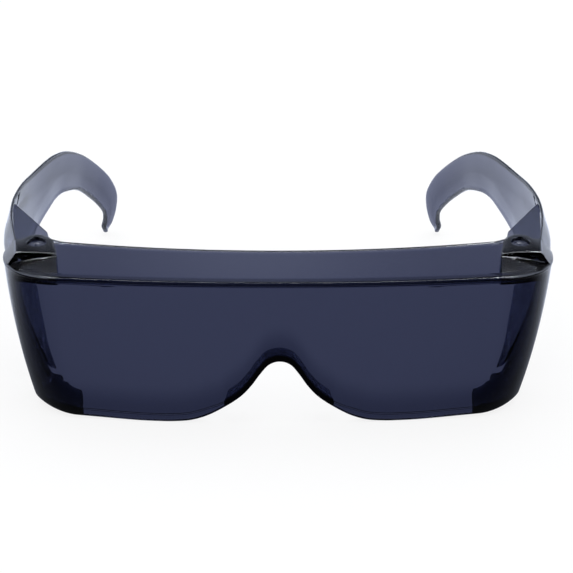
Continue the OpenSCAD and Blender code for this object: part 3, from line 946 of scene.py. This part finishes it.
def pin_tree(pin, material):
    """Geometry Nodes: one copy of the pin at each hinge, made real and given its plastic."""
    tree = bpy.data.node_groups.new("pins at both hinges", "GeometryNodeTree")
    face = tree.interface
    face.new_socket("Geometry", in_out="OUTPUT", socket_type="NodeSocketGeometry")
    spacing = face.new_socket("Spacing", in_out="INPUT", socket_type="NodeSocketFloat")
    source = add(tree, "NodeGroupInput").outputs["Spacing"]
    half = add(tree, "ShaderNodeMath", [(source, 0), (-0.5, 1)], operation="MULTIPLY")
    start = add(tree, "ShaderNodeCombineXYZ", [(half, "X")])
    step = add(tree, "ShaderNodeCombineXYZ", [(source, "X")])
    row = [(start, "Start Location"), (step, "Offset")]
    line = add(tree, "GeometryNodeMeshLine", row, mode="OFFSET", Count=2)
    shape = add(tree, "GeometryNodeObjectInfo", Object=pin).outputs["Geometry"]
    copies = add(tree, "GeometryNodeInstanceOnPoints", [(line, "Points"), (shape, "Instance")])
    real = add(tree, "GeometryNodeRealizeInstances", [(copies, "Geometry")])
    coat = add(tree, "GeometryNodeSetMaterial", [(real, "Geometry")], Material=material)
    add(tree, "NodeGroupOutput", [(coat, "Geometry")])
    return tree, spacing.identifier


class SUNGLASSES_OT_pins(bpy.types.Operator):
    """Build both hinge pins: a domed head in the recess, a shaft and a split snap foot"""

    bl_idname = "sunglasses.pins"
    bl_label = "Hinge pins"

    def execute(self, context):
        scene = context.scene
        wall = Shield(scene)
        h = wall.h
        py = h["pin_back"]
        shaft = h["bore"] / 2 - h["pin_gap"]
        head = h["recess"] / 2 - 0.12
        seat = wall.plate_top - h["recess_depth"] - h["head"]
        top = seat + h["head"]
        under = wall.low_ear_low
        foot = under - 0.9

        # Snap foot, shaft, head and the shallow dish in its top
        profile = [(shaft - 0.45, foot), (shaft - 0.3, foot + 0.08), (shaft + 0.26, under - 0.16)]
        profile += [(shaft + 0.28, under - 0.06), (shaft, under - 0.03), (shaft, seat - 0.02)]
        profile += [(head, seat - 0.01), (head, top - 0.24), (head - 0.07, top - 0.09)]
        profile += [(head - 0.22, top - 0.02), (head - 0.5, top)]
        profile += [(1.2, top + 0.02), (1.0, top - 0.02), (0.85, top - 0.1), (0.5, top - 0.12)]
        pin = turned("pin", profile, 0, py, 72)
        slot = box(-0.3, py - 3, 0.3, py + 3)
        combine(pin, prism("slot", slot, foot - 1, foot + 1.6), "DIFFERENCE")

        plastic = dark_polycarbonate()
        tree, spacing = pin_tree(pin, plastic)
        ob = bpy.data.objects.new("hinge_pins", bpy.data.meshes.new("hinge_pins"))
        scene.collection.objects.link(ob)
        mod = ob.modifiers.new("pins", "NODES")
        mod.node_group = tree
        mod[spacing] = 2 * wall.pin_x * MM
        context.view_layer.update()
        made = bpy.data.meshes.new_from_object(ob.evaluated_get(context.evaluated_depsgraph_get()))
        if not made.polygons:
            raise RuntimeError("the pins came out empty")
        ob.modifiers.remove(mod)
        ob.data = made
        bpy.data.objects.remove(pin)
        finish_piece(ob, plastic, "front", "hinge_pin_left", "hinge_pin_right", slot="pin_plastic")
        return {"FINISHED"}


class SUNGLASSES_OT_stage(bpy.types.Operator):
    """Set up the floor, the light and the camera"""

    bl_idname = "sunglasses.stage"
    bl_label = "Stage"

    def execute(self, context):
        scene = context.scene
        stage = scene.sunglasses_stage

        bpy.ops.mesh.primitive_plane_add(size=6, location=(0, 0, 0))
        floor = context.object
        floor.name = "floor"
        floor.data.materials.append(white_sweep())

        scene.world = studio_world()

        softbox("overhead softbox", (0, 0.25, 1.1), (1.2, 1.0), stage.overhead)
        for side in (-1, 1):
            softbox("strip softbox", (0.42 * side, 0.3, 1.0), (0.3, 0.9), stage.strips, False)

        camera = bpy.data.cameras.new("camera")
        camera.lens = stage.focal
        camera.sensor_width = 36
        camera.clip_start = 0.01
        eye = bpy.data.objects.new("camera", camera)
        scene.collection.objects.link(eye)
        rib = Vector((0, -middle_y() * MM, scene.sunglasses_shield.height))
        a = stage.azimuth
        e = stage.elevation
        right = Vector((math.cos(a), math.sin(a), 0))
        ahead = Vector((-math.sin(a) * math.cos(e), math.cos(a) * math.cos(e), -math.sin(e)))
        up = right.cross(ahead)
        eye.location = rib - ahead * stage.distance
        aim = rib + right * stage.aim_right - up * stage.aim_down
        look = (aim - eye.location).to_track_quat("-Z", "Y")
        eye.rotation_euler = (look @ Quaternion((0, 0, 1), stage.roll)).to_euler()
        scene.camera = eye
        scene.view_settings.view_transform = "Standard"
        return {"FINISHED"}


def softbox(name, place, size, watts, lights_paper=True):
    """A rectangular lamp over the glasses that shines straight down and, if asked, lights the paper."""
    lamp = bpy.data.lights.new(name, "AREA")
    lamp.shape = "RECTANGLE"
    lamp.size, lamp.size_y = size
    lamp.energy = watts
    lamp.color = hex_to_linear("#F0F5FF")[:3]
    ob = bpy.data.objects.new(name, lamp)
    ob.location = place
    ob.visible_diffuse = lights_paper
    bpy.context.scene.collection.objects.link(ob)


def ray_shares(tree):
    """Adds two shares: rays that see the background as plain white, and rays that a surface reflects."""
    path = add(tree, "ShaderNodeLightPath").outputs
    through = (path["Is Transmission Ray"], 1)
    straight = [(path["Is Camera Ray"], 0), through]
    glossy = [(path["Is Glossy Ray"], 0), through]
    seen = add(tree, "ShaderNodeMath", straight, operation="ADD", use_clamp=True)
    return seen, add(tree, "ShaderNodeMath", glossy, operation="SUBTRACT", use_clamp=True)


def studio_world():
    """Plain white, but for reflected rays: bright behind and beside the glasses, dim in front of them."""
    world = bpy.data.worlds.new("studio")
    tree = empty_tree(world)
    seen, reflected = ray_shares(tree)
    whole = add(tree, "ShaderNodeTexCoord").outputs["Generated"]
    way = add(tree, "ShaderNodeSeparateXYZ", [(whole, 0)]).outputs
    side = add(tree, "ShaderNodeMath", [(way["X"], 0)], operation="ABSOLUTE")
    ahead = add(tree, "ShaderNodeMath", [(way["Y"], 0), (0.0, 1)], operation="MAXIMUM")

    # Brightness of the sides, and of a low band behind with a soft lift in its middle
    wide = [(side, "Value"), (0.28, "From Min"), (0.65, "From Max"), (2.0, "To Max")]
    flank = add(tree, "ShaderNodeMapRange", wide, interpolation_type="SMOOTHSTEP")
    narrow = [(side, "Value"), (0.12, "From Max"), (0.25, "To Min"), (0.0, "To Max")]
    middle = add(tree, "ShaderNodeMapRange", narrow, interpolation_type="SMOOTHSTEP")
    low = add(tree, "ShaderNodeMath", [(ahead, 0), (6.0, 1)], operation="POWER")
    centre = add(tree, "ShaderNodeMath", [(middle, 0), (ahead, 1)], operation="MULTIPLY")
    behind = add(tree, "ShaderNodeMath", [(low, 0), (centre, 1)], operation="ADD")
    level = add(tree, "ShaderNodeMath", [(flank, 0), (behind, 1)], operation="ADD")

    fill = add(tree, "ShaderNodeBackground", Color=WHITE, Strength=0.6)
    white = add(tree, "ShaderNodeBackground", Color=WHITE, Strength=1.0)
    sweep = add(tree, "ShaderNodeBackground", [(level, "Strength")], Color=hex_to_linear("#DCE6FF"))
    glossy = add(tree, "ShaderNodeMixShader", [(reflected, 0), (fill, 1), (sweep, 2)])
    mix = add(tree, "ShaderNodeMixShader", [(seen, 0), (glossy, 1), (white, 2)])
    add(tree, "ShaderNodeOutputWorld", [(mix, "Surface")])
    return world


def white_sweep():
    """White paper: plain white under a faint shadow; in reflections a painted glow, bright behind the
    glasses and dim in front of them.
    """
    mat = bpy.data.materials.new("white paper sweep")
    tree = empty_tree(mat)
    seen, reflected = ray_shares(tree)
    whole = add(tree, "ShaderNodeTexCoord").outputs["Object"]
    place = add(tree, "ShaderNodeSeparateXYZ", [(whole, 0)]).outputs
    # Painted light and shade in reflections: the paper glows by its place on the floor, dim in front of the
    # glasses and bright behind them, not from the lamps
    fade = [(place["Y"], "Value"), (-0.075, "From Min"), (0.045, "From Max")]
    fade += [(0.03, "To Min"), (1.35, "To Max")]
    painted_glow_level = add(tree, "ShaderNodeMapRange", fade, interpolation_type="SMOOTHSTEP")
    paper = add(tree, "ShaderNodeBsdfDiffuse", Color=(0.8, 0.8, 0.8, 1))
    white = add(tree, "ShaderNodeEmission", Color=WHITE, Strength=1.06)
    painted_glow = add(tree, "ShaderNodeEmission", [(painted_glow_level, "Strength")], Color=hex_to_linear("#E4ECFF"))
    amount = add(tree, "ShaderNodeMath", [(seen, 0), (0.8, 1)], operation="MULTIPLY")
    plain = add(tree, "ShaderNodeMixShader", [(amount, 0), (paper, 1), (white, 2)])
    mix = add(tree, "ShaderNodeMixShader", [(reflected, 0), (plain, 1), (painted_glow, 2)])
    add(tree, "ShaderNodeOutputMaterial", [(mix, "Surface")])
    return mat


class SUNGLASSES_PT_panel(bpy.types.Panel):
    """Lists the steps that build the sunglasses"""

    bl_idname = "SUNGLASSES_PT_panel"
    bl_label = "Sunglasses"
    bl_space_type = "VIEW_3D"
    bl_region_type = "UI"
    bl_category = "Sunglasses"

    def draw(self, context):
        for step in STEPS:
            self.layout.operator(step.bl_idname)


STEPS = (SUNGLASSES_OT_stage, SUNGLASSES_OT_shield, SUNGLASSES_OT_temples, SUNGLASSES_OT_pins)
GROUPS = {
    "sunglasses_shield": SunglassesShieldSizes,
    "sunglasses_hinge": SunglassesHingeSizes,
    "sunglasses_temple": SunglassesTempleSizes,
    "sunglasses_finish": SunglassesFinish,
    "sunglasses_stage": SunglassesStageSettings,
}


def register():
    for group in GROUPS.values():
        bpy.utils.register_class(group)
    for step in (*STEPS, SUNGLASSES_PT_panel):
        bpy.utils.register_class(step)
    for name, group in GROUPS.items():
        setattr(bpy.types.Scene, name, PointerProperty(type=group))


def unregister():
    for name in GROUPS:
        delattr(bpy.types.Scene, name)
    for step in (SUNGLASSES_PT_panel, *reversed(STEPS)):
        bpy.utils.unregister_class(step)
    for group in reversed(list(GROUPS.values())):
        bpy.utils.unregister_class(group)


def main():
    register()
    bpy.ops.sunglasses.stage()
    bpy.ops.sunglasses.shield()
    bpy.ops.sunglasses.temples()
    bpy.ops.sunglasses.pins()


if __name__ == "__main__":
    main()
